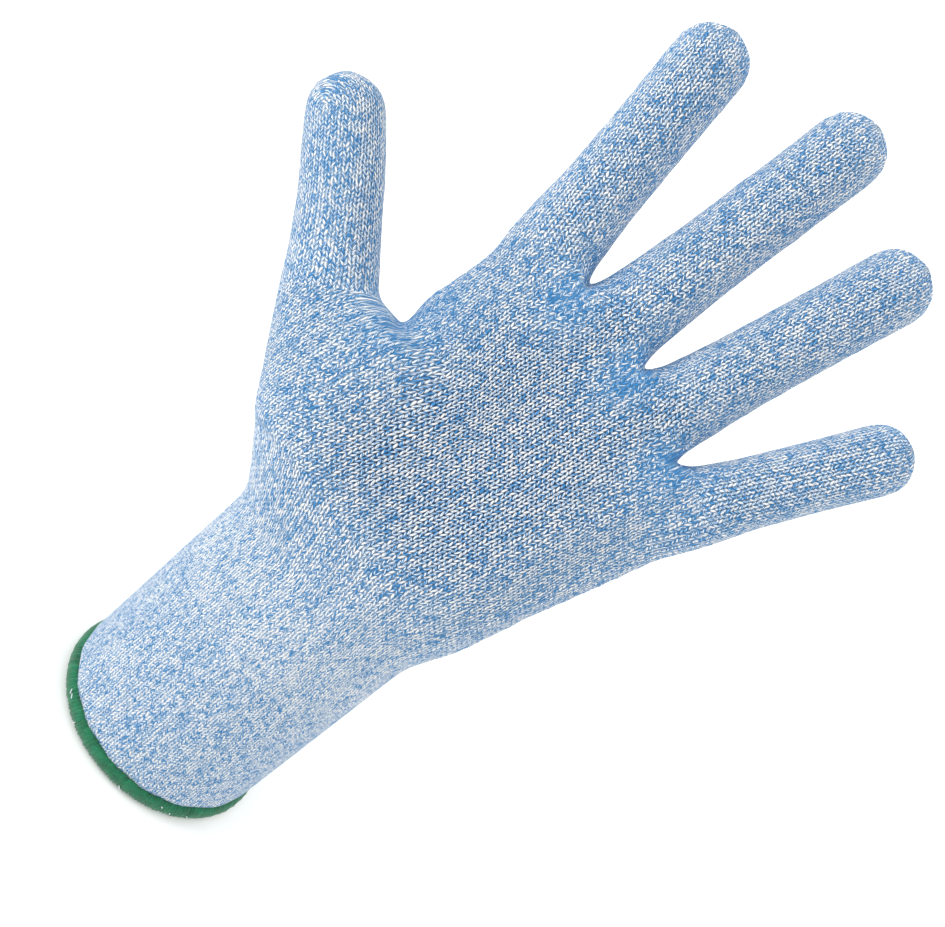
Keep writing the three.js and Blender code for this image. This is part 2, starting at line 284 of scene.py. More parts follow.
def buildKnitGroup():
    tree = bpy.data.node_groups.new("knittedLoops", "ShaderNodeTree")
    face = tree.interface
    face.new_socket("Wales", in_out="INPUT", socket_type="NodeSocketVector")
    for name in ("Openness", "Gather", "Paleness", "Whiteness", "Rib"):
        face.new_socket(name, in_out="INPUT", socket_type="NodeSocketFloat")
    face.new_socket("Color", in_out="OUTPUT", socket_type="NodeSocketColor")
    face.new_socket("Height", in_out="OUTPUT", socket_type="NodeSocketFloat")
    face.new_socket("Roughness", in_out="OUTPUT", socket_type="NodeSocketFloat")
    inputs = tree.nodes.new("NodeGroupInput")
    outputs = tree.nodes.new("NodeGroupOutput")

    split = tree.nodes.new("ShaderNodeSeparateXYZ")
    link(tree, inputs.outputs["Wales"], split.inputs[0])
    place = tree.nodes.new("ShaderNodeTexCoord").outputs["Object"]
    sway = noiseNode(tree, place, 260, 2)
    lift = noiseNode(tree, place, 330, 2)
    u = mathNode(tree, "MULTIPLY_ADD", mathNode(tree, "SUBTRACT", sway, 0.5), 0.55, split.outputs[0])
    v = mathNode(tree, "MULTIPLY_ADD", mathNode(tree, "SUBTRACT", lift, 0.5), 0.6, split.outputs[1])

    wale = mathNode(tree, "FLOOR", u)
    across01 = mathNode(tree, "SUBTRACT", mathNode(tree, "FRACT", u), 0.5)
    side = mathNode(tree, "SIGN", across01)
    # how far out on its V a spot lies, from 0 at the V's point to 1 between wales
    away = mathNode(tree, "MULTIPLY", mathNode(tree, "ABSOLUTE", across01), 2.0)
    climbed = mathNode(tree, "MULTIPLY_ADD", away, -yarn["legSlant"], v)
    course = mathNode(tree, "FLOOR", climbed)
    along = mathNode(tree, "FRACT", climbed)

    acrossLeg = mathNode(tree, "MULTIPLY", mathNode(tree, "SUBTRACT", away, 0.5), 1.95)
    alongLeg = mathNode(tree, "MULTIPLY", mathNode(tree, "SUBTRACT", along, 0.5), 1.75)
    spread = mathNode(
        tree, "ADD", mathNode(tree, "POWER", acrossLeg, 2.0), mathNode(tree, "POWER", alongLeg, 2.0)
    )
    loop = mathNode(tree, "SQRT", mathNode(tree, "SUBTRACT", 1.0, spread, clamp=True))

    legId = joinXyz(tree, mathNode(tree, "MULTIPLY_ADD", side, 0.25, wale), course)
    perLeg = randomNode(tree, legId)
    alongCourse = joinXyz(tree, mathNode(tree, "MULTIPLY", u, 0.7), mathNode(tree, "MULTIPLY", course, 7.3))
    streak = noiseNode(tree, alongCourse, 1.0, 2)
    pliesAcross = mathNode(tree, "MULTIPLY", u, 2.6)
    pliesAlong = mathNode(tree, "MULTIPLY", climbed, 3.6)
    plies = joinXyz(tree, pliesAcross, pliesAlong, mathNode(tree, "MULTIPLY", wale, 3.7))
    twist = noiseNode(tree, plies, 1.0, 3)
    blend = mathNode(tree, "MULTIPLY_ADD", perLeg, 0.24, -1.06)
    blend = mathNode(tree, "MULTIPLY_ADD", streak, 0.34, blend)
    blend = mathNode(tree, "MULTIPLY_ADD", twist, 1.85, blend)
    blend = mathNode(tree, "MULTIPLY_ADD", inputs.outputs["Whiteness"], 0.42, blend)
    blend = mathNode(tree, "MULTIPLY_ADD", inputs.outputs["Gather"], -0.13, blend)
    blend = mathNode(tree, "MULTIPLY_ADD", inputs.outputs["Paleness"], 0.07, blend)
    strand = rampNode(
        tree,
        blend,
        (
            (0.22, yarn["blue"]),
            (0.33, yarn["midBlue"]),
            (0.40, yarn["paleBlue"]),
            (0.47, yarn["white"]),
        ),
    )

    # painted shade: depth is the painted shadow colour of the gaps, mixed over the yarn where the loops
    # part, more where they are pulled open
    gap = mathNode(tree, "SUBTRACT", 1.0, smoothStep(tree, loop, 0.2, 0.86))
    depth = mixColour(tree, inputs.outputs["Openness"], yarn["grooveShade"], yarn["hollow"])
    gapShadeShare = mathNode(tree, "MULTIPLY_ADD", inputs.outputs["Openness"], 0.42, 0.58)
    gapShadeShare = mathNode(tree, "MULTIPLY", gap, gapShadeShare, clamp=True)
    ribWave = mathNode(tree, "COSINE", mathNode(tree, "MULTIPLY", split.outputs[0], math.pi))
    ribWave = mathNode(tree, "MULTIPLY_ADD", ribWave, 0.5, 0.5)
    ribWave = mathNode(tree, "MULTIPLY", ribWave, inputs.outputs["Rib"])
    colour = mixColour(tree, gapShadeShare, strand, depth)
    link(tree, colour, outputs.inputs["Color"])

    fibre = noiseNode(tree, place, 3200, 2)
    height = mathNode(tree, "MULTIPLY_ADD", fibre, 0.16, loop)
    height = mathNode(tree, "MULTIPLY_ADD", ribWave, -0.9, height)
    link(tree, height, outputs.inputs["Height"])
    link(tree, mathNode(tree, "MULTIPLY_ADD", loop, -0.12, 0.93), outputs.inputs["Roughness"])
    return tree


knitGroup = buildKnitGroup()


def startMaterial(name, sheen):
    material = bpy.data.materials.new(name)
    material.use_nodes = True
    tree = material.node_tree
    shader = tree.nodes["Principled BSDF"]
    shader.inputs["Sheen Weight"].default_value = sheen
    shader.inputs["Sheen Roughness"].default_value = 0.6
    shader.inputs["Specular IOR Level"].default_value = 0.25
    return material, tree, shader


def addBump(tree, shader, height, distance, strength=1.0):
    bump = tree.nodes.new("ShaderNodeBump")
    bump.inputs["Distance"].default_value = distance
    bump.inputs["Strength"].default_value = strength
    link(tree, height, bump.inputs["Height"])
    link(tree, bump.outputs[0], shader.inputs["Normal"])


def knitMaterial(name, whiteness, rib):
    material, tree, shader = startMaterial(name, 0.12)
    uv = tree.nodes.new("ShaderNodeUVMap")
    uv.uv_map = "wales"
    group = tree.nodes.new("ShaderNodeGroup")
    group.node_tree = knitGroup
    link(tree, uv.outputs[0], group.inputs["Wales"])
    for name in ("Openness", "Gather", "Paleness"):
        attribute = tree.nodes.new("ShaderNodeAttribute")
        attribute.attribute_name = name.lower()
        link(tree, attribute.outputs["Fac"], group.inputs[name])
    group.inputs["Whiteness"].default_value = whiteness
    group.inputs["Rib"].default_value = rib
    link(tree, group.outputs["Color"], shader.inputs["Base Color"])
    link(tree, group.outputs["Roughness"], shader.inputs["Roughness"])
    addBump(tree, shader, group.outputs["Height"], 0.0005)
    return material


def overlockMaterial():
    material, tree, shader = startMaterial("greenOverlock", 0.3)
    place = tree.nodes.new("ShaderNodeTexCoord").outputs["Object"]
    fibre = noiseNode(tree, place, 2600, 4, 0.7)
    patch = noiseNode(tree, place, 420, 3)
    tone = mathNode(tree, "MULTIPLY_ADD", fibre, 0.6, mathNode(tree, "MULTIPLY", patch, 0.5))
    colour = rampNode(
        tree, tone, ((0.3, (0.0, 0.05, 0.018)), (0.55, (0.002, 0.15, 0.062)), (0.85, (0.012, 0.30, 0.13)))
    )
    link(tree, colour, shader.inputs["Base Color"])
    shader.inputs["Roughness"].default_value = 0.78
    addBump(tree, shader, fibre, 0.0002, 0.8)
    return material


def plainYarnMaterial(name, dark, light, scale):
    material, tree, shader = startMaterial(name, 0.15)
    place = tree.nodes.new("ShaderNodeTexCoord").outputs["Object"]
    fibre = noiseNode(tree, place, scale, 3, 0.6)
    link(tree, rampNode(tree, fibre, ((0.35, dark), (0.65, light))), shader.inputs["Base Color"])
    shader.inputs["Roughness"].default_value = 0.8
    addBump(tree, shader, fibre, 0.00015, 0.8)
    return material


knitCloth = knitMaterial("marlKnit", 0.55, 0.0)
ribCloth = knitMaterial("marlRib", 0.45, 0.55)
overlockYarn = overlockMaterial()
strayYarn = plainYarnMaterial("strayYarn", (0.6, 0.7, 0.76), (0.93, 0.95, 0.96), 2500)
elasticYarn = plainYarnMaterial("coveredElastic", (0.55, 0.6, 0.66), (0.9, 0.9, 0.88), 1800)

print("glove: one solid body from the frame's zones")

shell = {
    "voxel": 0.0014,
    "reach": 0.00035,  # each zone grows this much, to close the gap to the next
    "sliceHeight": 0.004,
    "smoothing": 14,
    "palmWall": 0.0012,
    "cuffWall": 0.0017,
}


def onlySelect(piece):
    bpy.ops.object.select_all(action="DESELECT")
    piece.hide_set(False)
    piece.select_set(True)
    bpy.context.view_layer.objects.active = piece


def copyOf(source, name):
    piece = bpy.data.objects.new(name, source.data.copy())
    bpy.context.scene.collection.objects.link(piece)
    piece.data.materials.clear()
    return piece


def fillHollow(piece):
    onlySelect(piece)
    bpy.ops.object.mode_set(mode="EDIT")
    bpy.ops.mesh.select_all(action="SELECT")
    bpy.ops.mesh.remove_doubles(threshold=1e-6)
    bpy.ops.mesh.convex_hull()
    bpy.ops.mesh.normals_make_consistent(inside=False)
    bpy.ops.transform.shrink_fatten(value=shell["reach"])
    bpy.ops.object.mode_set(mode="OBJECT")
    return piece


def keepBetween(piece, low, high):  # the part of a mesh between two heights up the hand, in metres
    onlySelect(piece)
    bpy.ops.object.mode_set(mode="EDIT")
    for height, outer in ((low, False), (high, True)):
        bpy.ops.mesh.select_all(action="SELECT")
        bpy.ops.mesh.bisect(
            plane_co=wristAt + upHand * height,
            plane_no=upHand,
            use_fill=False,
            clear_inner=not outer,
            clear_outer=outer,
        )
    bpy.ops.object.mode_set(mode="OBJECT")
    return len(piece.data.vertices) > 3


def solidPalm(name):
    spots = toHand([v.co for v in nodes[name].data.vertices])[:, 2] * 0.001
    low, high = spots.min(), spots.max()
    count = math.ceil((high - low) / shell["sliceHeight"])
    slices = []
    for i in range(count):
        piece = copyOf(nodes[name], f"{name}Slice{i}")
        bottom = low + (high - low) * i / count
        if keepBetween(piece, bottom, bottom + (high - low) / count):
            slices.append(fillHollow(piece))
        else:
            bpy.data.objects.remove(piece)
    return slices


def joinPieces(pieces, name):
    bpy.ops.object.select_all(action="DESELECT")
    for piece in pieces:
        piece.select_set(True)
    bpy.context.view_layer.objects.active = pieces[0]
    if len(pieces) > 1:
        bpy.ops.object.join()
    pieces[0].name = name
    return pieces[0]


def applyModifier(piece, kind, **values):
    onlySelect(piece)
    modifier = piece.modifiers.new(kind.lower(), kind)
    for key, value in values.items():
        setattr(modifier, key, value)
    bpy.ops.object.modifier_apply(modifier=modifier.name)


def buildBody():
    solids = []
    for name in nodes:
        if name == "cuff_elastic_yarn":
            continue
        if name in ("palm_main", "palm_upper", "wrist_fold"):
            solids += solidPalm(name)
        else:
            solids.append(fillHollow(copyOf(nodes[name], name + "Solid")))
    body = joinPieces(solids, "gloveBody")
    applyModifier(body, "REMESH", mode="VOXEL", voxel_size=shell["voxel"])
    applyModifier(body, "SMOOTH", factor=0.5, iterations=shell["smoothing"])
    return body


gloveBody = buildBody()

print("glove: the palm's hills and hollow")

# each: x and z on the hand, reach across and up, height out of the palm, all in millimetres
palmRelief = {
    "thumbPad": (-36, 34, 17, 21, 4.2),
    "thumbPadFoot": (-22, 20, 14, 14, 2.0),
    "littlePad": (30, 30, 12, 24, 2.6),
    "hollow": (0, 50, 15, 26, -3.4),
    "thumbCrease": (-20, 58, 9, 12, -2.4),
    "wristCrease": (2, -2, 26, 5, -1.6),
    "indexPad": (-22, 82, 10, 8, 1.2),
    "ringPad": (18, 80, 10, 8, 1.0),
    "littleRootPad": (40, 72, 9, 8, 1.0),
}


def readSpots(mesh):
    spots = np.empty(len(mesh.vertices) * 3, np.float32)
    mesh.vertices.foreach_get("co", spots)
    return spots.reshape(-1, 3).astype(float)


def readNormals(mesh):
    normals = np.empty(len(mesh.vertices) * 3, np.float32)
    mesh.vertices.foreach_get("normal", normals)
    return normals.reshape(-1, 3).astype(float)


def writeSpots(mesh, spots):
    mesh.vertices.foreach_set("co", spots.astype(np.float32).ravel())
    mesh.update()


def reshapePalm(body):
    spots, normals = readSpots(body.data), readNormals(body.data)
    hand = toHand(spots)
    facing = np.clip(-(normals @ np.array(backward)) * 1.4, 0, 1)
    push = np.zeros(len(spots))
    for x, z, wide, tall, height in palmRelief.values():
        push += height * np.exp(-(((hand[:, 0] - x) / wide) ** 2) - ((hand[:, 2] - z) / tall) ** 2)
    writeSpots(body.data, spots - np.outer(push * facing * 0.001, np.array(backward)))
    applyModifier(body, "SMOOTH", factor=0.5, iterations=3)


def smoothNear(body, place, reach, iterations):
    group = body.vertex_groups.new(name="near")
    share = np.linalg.norm(readSpots(body.data) - np.array(place), axis=1) / reach
    for i in np.nonzero(share < 1)[0]:
        group.add([int(i)], float(1 - share[i] ** 2), "REPLACE")
    applyModifier(body, "SMOOTH", factor=0.5, iterations=iterations, vertex_group="near")
    body.vertex_groups.clear()


def tuckUnderHem(body):
    spots = readSpots(body.data)
    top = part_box("hem_overlock")[1].z
    share = np.clip((top + 0.0018 - spots[:, 2]) / 0.0024, 0, 1)
    radius = np.hypot(spots[:, 0], spots[:, 1])
    spots[:, :2] *= (1 - 0.0015 * share * share * (3 - 2 * share) / radius)[:, None]
    writeSpots(body.data, spots)


reshapePalm(gloveBody)
smoothNear(gloveBody, handPoint(-38, 0, 89), 0.013, 40)  # the index finger's outer root
tuckUnderHem(gloveBody)

print("glove: middle lines up the hand and the digits")

digits = {
    "index": {"wales": 34, "halfWidth": 10.8, "halfDepth": 9.8},
    "middle": {"wales": 34, "halfWidth": 10.6, "halfDepth": 9.8},
    "ring": {"wales": 34, "halfWidth": 10.4, "halfDepth": 9.6},
    "little": {"wales": 30, "halfWidth": 9.6, "halfDepth": 8.9},
    "thumb": {"wales": 38, "halfWidth": 11.8, "halfDepth": 11.4},
}
digitZones = (
    "web",
    "root_band",
    "root_fold",
    "proximal_sleeve",
    "pip_fold",
    "ip_fold",
    "middle_sleeve",
    "dip_fold",
    "tip",
)
softZones = {  # each with the body that it carries
    "web": "band",
    "root_fold": "proximal",
    "pip_fold": "middle",
    "dip_fold": "end",
    "ip_fold": "end",
}
knit = {"course": 1.35, "handWales": 108}


class TubeLine:  # the middle line of a sleeve, in straight stretches, and the axis across it
    def __init__(self, side, points):
        self.side = np.array(side)
        self.points = [Vector(point) for point in points]
        self.steps = [(b - a).length * 1000 for a, b in zip(self.points, self.points[1:])]
        self.length = sum(self.steps)

    def heading(self, i):
        return (self.points[min(i + 1, len(self.points) - 1)] - self.points[max(i - 1, 0)]).normalized()

    def measure(self, spots):  # millimetres up the line, to its side, and out of its palm face
        best = np.full(len(spots), 1e9)
        out = np.zeros((len(spots), 3))
        walked = 0.0
        last = len(self.steps) - 1
        for i, (a, b) in enumerate(zip(self.points, self.points[1:])):
            heading = np.array((b - a).normalized())
            away = (spots - np.array(a)) * 1000
            up = away @ heading
            held = np.clip(up, -1e6 if i == 0 else 0.0, 1e6 if i == last else self.steps[i])
            rest = away - np.outer(held, heading)
            distance = np.linalg.norm(rest, axis=1)
            nearer = distance < best
            best[nearer] = distance[nearer]
            out[nearer, 0] = walked + held[nearer]
            out[nearer, 1] = (away @ self.side)[nearer]
            out[nearer, 2] = -(away @ np.cross(self.side, heading))[nearer]
            walked += self.steps[i]
        return out


def measureHand(spots):  # the same for the hand, whose line is an arc at the wrist
    reach = foldHalf / math.tan(lean / 2) * 1000
    x, y, z = (spots * 1000).T
    rise = z - cuffTop * 1000
    turn = np.clip(np.arctan2(rise, np.maximum(reach - y, 1.0)), 0, lean)
    middle = reach - reach * np.cos(turn)
    along = rise - reach * np.sin(turn)
    out = (middle - y) * np.cos(turn) + along * np.sin(turn)
    past = (y - middle) * np.sin(turn) + along * np.cos(turn)
    up = z - rise + reach * turn + np.where((turn <= 0) | (turn >= lean), past, 0)
    return np.column_stack((up, x, out))


def digitLine(name):
    zones = [zone for zone in digitZones if f"{name}_{zone}" in nodes]
    middles = [nodeMiddle(f"{name}_{zone}") for zone in zones]
    first = (middles[1] - middles[0]).normalized()
    last = (middles[-1] - middles[-2]).normalized()
    start = readSpots(nodes[f"{name}_{zones[0]}"].data) - np.array(middles[0])
    end = readSpots(nodes[f"{name}_tip"].data) - np.array(middles[-1])
    foot = middles[0] + first * min(start @ np.array(first))
    top = middles[-1] + last * max(end @ np.array(last))
    line = TubeLine(jointAxis(f"{name}_root"), [foot, *middles, top])
    line.zones = zones
    return line


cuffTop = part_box("cuff_rib")[1].z
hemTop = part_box("hem_overlock")[1].z
foldHalf = wristAt.z - cuffTop
lean = upHand.angle(Vector((0, 0, 1)))
lines = {name: digitLine(name) for name in digits}
crease = wristAt.z * 1000 - foldHalf * 1000 + foldHalf / math.tan(lean / 2) * 500 * lean

print("glove: cuts between the zones that bend")


def faceMiddles(mesh):
    middles = np.empty(len(mesh.polygons) * 3, np.float32)
    mesh.polygons.foreach_get("center", middles)
    return middles.reshape(-1, 3).astype(float)


def cutAcross(body, place, heading, reach):
    near = np.linalg.norm(faceMiddles(body.data) - np.array(place), axis=1) < reach
    onlySelect(body)
    bpy.context.tool_settings.mesh_select_mode = (False, False, True)
    body.data.polygons.foreach_set("select", near)
    bpy.ops.object.mode_set(mode="EDIT")
    bpy.ops.mesh.bisect(plane_co=place, plane_no=heading)
    bpy.ops.object.mode_set(mode="OBJECT")


knuckleAt = jointAt("knuckle_fold")
knuckleHeading = jointAxis("knuckle_fold").cross(backward).normalized()
knuckleSpots = readSpots(nodes["knuckle_fold_band"].data) - np.array(knuckleAt)
knuckleHalf = np.abs(knuckleSpots @ np.array(knuckleHeading)).max()

handCuts = {
    "wrist": (Vector((0, 0, cuffTop - 0.009)), Vector((0, 0, 1))),
    "palm": (wristAt + upHand * (foldHalf + 0.009), upHand),
    "knuckles": (knuckleAt - knuckleHeading * (knuckleHalf + 0.004), knuckleHeading),
}


def cutsOfDigit(name):
    line = lines[name]
    soft = [zone for zone in line.zones if zone in softZones]
    stiff = [i for i, zone in enumerate(line.zones) if zone not in softZones and zone != "tip"]
    places = [(line.points[0], line.heading(0))] + [(line.points[i + 1], line.heading(i + 1)) for i in stiff]
    return dict(zip(soft, places))


digitCuts = {name: cutsOfDigit(name) for name in digits}
zoneNames = ["cuff", *handCuts] + [f"{name}_{zone}" for name in digits for zone in digitCuts[name]]


def cutBody(body):
    for place, heading in handCuts.values():
        cutAcross(body, place, heading, 0.09)
    for name, cuts in digitCuts.items():
        for place, heading in cuts.values():
            cutAcross(body, place, heading, 0.0165 if name == "thumb" else 0.0145)
    for one, other in (("index", "middle"), ("middle", "ring"), ("ring", "little")):
        a, b = lines[one], lines[other]
        heading = (a.heading(0) + b.heading(0)).cross(backward).normalized()
        cutAcross(body, (a.points[0] + b.points[0]) / 2, heading, 0.013)
    onlySelect(body)
    bpy.ops.object.mode_set(mode="EDIT")
    bpy.ops.mesh.select_all(action="SELECT")
    bpy.ops.mesh.bisect(plane_co=(0, 0, hemTop * 0.4), plane_no=(0, 0, 1), clear_inner=True)
    bpy.ops.object.mode_set(mode="OBJECT")


applyModifier(gloveBody, "SUBSURF", levels=1, render_levels=1)
cutBody(gloveBody)


# millimetres: the V's half width at its foot, and how far the cloth is gathered to the side and along
gapSizes = {"fingers": (1.7, 7.5, 11), "thumb": (2.6, 11, 13)}
gapDepth = 0.003  # how much deeper the V is drawn, in metres


def crotches():  # each gap between two digits: its foot, its heading and its sizes
    order = ("index", "middle", "ring", "little")
    found = []
    for one, other in zip(order, order[1:]):
        a, b = lines[one], lines[other]
        heading = (a.heading(0) + b.heading(0)).normalized()
        found.append(((a.points[0] + b.points[0]) / 2, heading, *gapSizes["fingers"]))
    thumbHeading = (across * -0.35 + upHand).normalized()
    found.append((handPoint(-41, -2, 66), thumbHeading, *gapSizes["thumb"]))
    return found


def sharpenCrotches(body):  # the rounded foot of each gap is drawn down to a V
    spots = readSpots(body.data)
    for place, heading, wide, _, _ in crotches():
        away = (spots - np.array(place)) * 1000
        along = away @ np.array(heading)
        aside = away @ np.array(heading.cross(backward))
        out = away @ np.array(backward)
        inGap = (np.abs(aside) < 1) & (np.abs(out) < 4) & (np.abs(along) < 16)
        foot = along[inGap].max()
        share = np.exp(-((aside / wide) ** 2) - ((along - foot) / 5) ** 2)
        spots -= np.outer(share * gapDepth, np.array(heading))
    writeSpots(body.data, spots)


sharpenCrotches(gloveBody)


def beyond(spots, cut):
    place, heading = cut
    return (spots - np.array(place)) @ np.array(heading) > 0


def zoneOfEach(spots):
    zone = np.zeros(len(spots), int)
    for i, cut in enumerate(handCuts.values()):
        zone[beyond(spots, cut)] = i + 1
    measured = {name: line.measure(spots) for name, line in lines.items()}
    number = len(handCuts) + 1
    for name in digits:
        up, aside, out = measured[name].T
        close = (np.abs(aside) < digits[name]["halfWidth"] + 3.8) & (np.abs(out) < 18) & (up > -1)
        for other in digits:
            if other != name and "thumb" not in (other, name):
                close &= np.abs(aside) <= np.abs(measured[other][:, 1])
        for cut in digitCuts[name].values():
            zone[close & beyond(spots, cut)] = number
            number += 1
    return zone


faceZone = zoneOfEach(faceMiddles(gloveBody.data))

print("glove: wales and courses")

# up the hand from the wrist's crease: middle, half width and half depth, in millimetres
handOutline = (
    (-82, 0, 31, 29),
    (-41, 0, 30.6, 24.9),
    (0, 0, 31.5, 22),
    (13.5, -4, 41, 20.5),
    (33, 0, 42, 18),
    (55, 3.8, 43.5, 15.5),
    (74, 6.3, 44.7, 14.5),
    (90, 9.5, 46.3, 13),
)


def eased(value, low, high):
    share = np.clip((value - low) / (high - low), 0, 1)
    return share * share * (3 - 2 * share)


def faceLoops(mesh):
    starts = np.empty(len(mesh.polygons), np.int32)
    totals = np.empty(len(mesh.polygons), np.int32)
    corners = np.empty(len(mesh.loops), np.int32)
    mesh.polygons.foreach_get("loop_start", starts)
    mesh.polygons.foreach_get("loop_total", totals)
    mesh.loops.foreach_get("vertex_index", corners)
    return np.repeat(np.arange(len(totals)), totals), corners


def closeSeam(u, faces, count, wales):  # a face on the seam at the back takes the numbers of one side
    high = np.full(count, -1e9)
    np.maximum.at(high, faces, u)
    return np.where(high[faces] - u > wales / 2, u + wales, u)


def handSection(up):
    heights, middle, halfWidth, halfDepth = np.array(handOutline, float).T
    z = up - crease
    return (np.interp(z, heights, row) for row in (middle, halfWidth, halfDepth))


def handWales(spots, faces, corners, frontFace):
    up, aside, out = measureHand(spots).T
    middle, halfWidth, halfDepth = handSection(up)
    x = aside - middle
    flat = halfWidth - halfDepth
    quarter = flat + halfDepth * math.pi / 2
    beside = np.maximum(np.abs(x) - flat, 0)
    arc = np.minimum(np.abs(x), flat) + halfDepth * np.arctan2(beside, np.abs(out))
    arc = np.where(out > 0, arc, 2 * quarter - arc)[corners]
    flatArc = (np.abs(x) + 0.571 * np.maximum(halfDepth - np.abs(out), 0))[corners]
    flatArc = np.where(frontFace[faces], flatArc, 2 * quarter[corners] - flatArc)
    thumbSide = (eased(up - crease, 5, 30) * eased(-x, 3, 18))[corners]
    arc = arc + (flatArc - arc) * thumbSide
    u = np.sign(x[corners]) * arc / (4 * quarter[corners]) * knit["handWales"]
    turned = np.clip((up - cuffTop * 1000) / (2 * (crease - cuffTop * 1000)), 0, 1) * lean
    v = (up + 0.75 * out * turned) / knit["course"]
    return closeSeam(u, faces, len(frontFace), knit["handWales"]), v[corners]


def digitWales(name, spots, faces, corners, frontFace):
    line, sizes = lines[name], digits[name]
    up, aside, out = line.measure(spots).T
    dome = sizes["halfWidth"]
    past = np.clip((up - line.length + dome) / dome, 0, 0.999)
    turn = np.arctan2(np.abs(aside) / sizes["halfWidth"], out / sizes["halfDepth"])
    domeTurn = np.arcsin(np.sqrt(1 - past * past) * np.sin(turn))[corners]
    domeTurn = np.where(frontFace[faces], domeTurn, math.pi - domeTurn)
    turn = np.where(past[corners] > 0, domeTurn, turn[corners])
    u = np.sign(aside[corners]) * turn / (2 * math.pi) * sizes["wales"]
    v = np.minimum(up, line.length - dome) + dome * np.arcsin(past)
    return closeSeam(u, faces, len(frontFace), sizes["wales"]), v[corners] / knit["course"]


def layWales(body):
    mesh = body.data
    spots, middles = readSpots(mesh), faceMiddles(mesh)
    faces, corners = faceLoops(mesh)
    u, v = handWales(spots, faces, corners, measureHand(middles)[:, 2] > 0)
    for name in digits:
        numbers = [i for i, zone in enumerate(zoneNames) if zone.startswith(name + "_")]
        mine = np.isin(faceZone, numbers)[faces]
        front = lines[name].measure(middles)[:, 2] > 0
        du, dv = digitWales(name, spots, faces, corners, front)
        offset = 400 + 60 * list(digits).index(name)
        u[mine], v[mine] = du[mine] + offset, dv[mine] + offset
    layer = mesh.uv_layers.new(name="wales")
    layer.data.foreach_set("uv", np.column_stack((u, v)).astype(np.float32).ravel())


layWales(gloveBody)


def stretchOfEach(spots):  # how open the loops are pulled, how gathered the cloth is, and how pale
    up, aside, out = measureHand(spots).T
    middle, halfWidth, _ = handSection(up)
    z = up - crease
    # openness also sets how much painted shade fills the gaps between loops: most across the middle of the
    # palm and each digit, less towards their sides, on the back, near the wrist and the tips, and at the
    # crotches
    openness = 0.5 + 0.5 * (1 - eased(np.abs(aside - middle) / halfWidth, 0.35, 0.98))
    openness *= np.where(out > 0, 1.0, 0.75)
    openness = 0.1 + (openness - 0.1) * eased(z, -8, 30)
    for name, line in lines.items():
        s, x, depth = line.measure(spots).T
        near = (np.abs(x) < digits[name]["halfWidth"] + 3) & (np.abs(depth) < 16)
        mine = 0.45 + 0.5 * (1 - eased(np.abs(x) / digits[name]["halfWidth"], 0.3, 0.95))
        mine *= np.where(depth > 0, 1.0, 0.8) * (1 - 0.35 * eased(s, line.length - 12, line.length))
        share = eased(s, -2, 8) * near
        openness += (mine - openness) * share
    gather = np.zeros(len(spots))
    for place, heading, _, wide, tall in crotches():
        away = (spots - np.array(place)) * 1000
        along = away @ np.array(heading)
        sideways = away @ np.array(heading.cross(backward))
        gather = np.maximum(gather, np.exp(-((sideways / wide) ** 2) - ((along + 4) / tall) ** 2))
    return openness * (1 - 0.85 * gather), gather, 1 - eased(z, -16, 22)


def writeStretch(body):
    for name, values in zip(("openness", "gather", "paleness"), stretchOfEach(readSpots(body.data))):
        attribute = body.data.attributes.new(name, "FLOAT", "POINT")
        attribute.data.foreach_set("value", values.astype(np.float32))


writeStretch(gloveBody)

print("glove: the zones, each with its own thickness")


def splitBody(body):
    mesh = body.data
    mesh.materials.clear()
    for name in zoneNames:
        mesh.materials.append(bpy.data.materials.new("zone " + name))
    mesh.polygons.foreach_set("material_index", faceZone)
    onlySelect(body)
    bpy.ops.object.mode_set(mode="EDIT")
    bpy.ops.mesh.select_all(action="SELECT")
    bpy.ops.mesh.separate(type="MATERIAL")
    bpy.ops.object.mode_set(mode="OBJECT")
    found = {}
    for piece in list(bpy.context.selected_objects):
        name = piece.data.materials[0].name.removeprefix("zone ")
        piece.name = piece.data.name = "knit_" + name
        found[name] = piece
    for name in zoneNames:
        bpy.data.materials.remove(bpy.data.materials["zone " + name])
    return found


def finishCloth(name, piece):
    wall = shell["cuffWall"] if name == "cuff" else shell["palmWall"]
    piece.data.materials.clear()
    piece.data.materials.append(ribCloth if name == "cuff" else knitCloth)
    piece.data.polygons.foreach_set("material_index", np.zeros(len(piece.data.polygons), np.int32))
    applyModifier(piece, "SOLIDIFY", thickness=wall, offset=-1, use_rim=True, use_quality_normals=True)
    onlySelect(piece)
    bpy.ops.object.shade_smooth_by_angle(angle=math.radians(50))


pieces = splitBody(gloveBody)
for pieceName, piece in pieces.items():
    finishCloth(pieceName, piece)
print("glove: faces", {name: len(piece.data.polygons) for name, piece in pieces.items()})

print("glove: the green overlocked hem")

hem = {
    "wraps": 176,
    "threadRadius": 0.00064,
    "coreThickness": 0.0012,
    "inset": 0.0018,  # from the frame's outer edge to the middle of the threads
    "coreRing": 0.055,  # the thickness of the plain ring that the core is bent from
    "wrapRing": 0.3,
    "strayEnds": 16,
}


def hemHalves():
    low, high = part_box("hem_overlock")
    return (high.x - low.x) / 2 - hem["inset"], (high.y - low.y) / 2 - hem["inset"]


def hemRing(share):  # a place on the hem's middle oval, with its outward and onward directions
    low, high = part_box("hem_overlock")
    halfX, halfY = hemHalves()
    turn = share * 2 * math.pi
    place = Vector((halfX * math.cos(turn), halfY * math.sin(turn), (low.z + high.z) / 2))
    onward = Vector((-halfX * math.sin(turn), halfY * math.cos(turn), 0)).normalized()
    return place, Vector((onward.y, -onward.x, 0)), onward


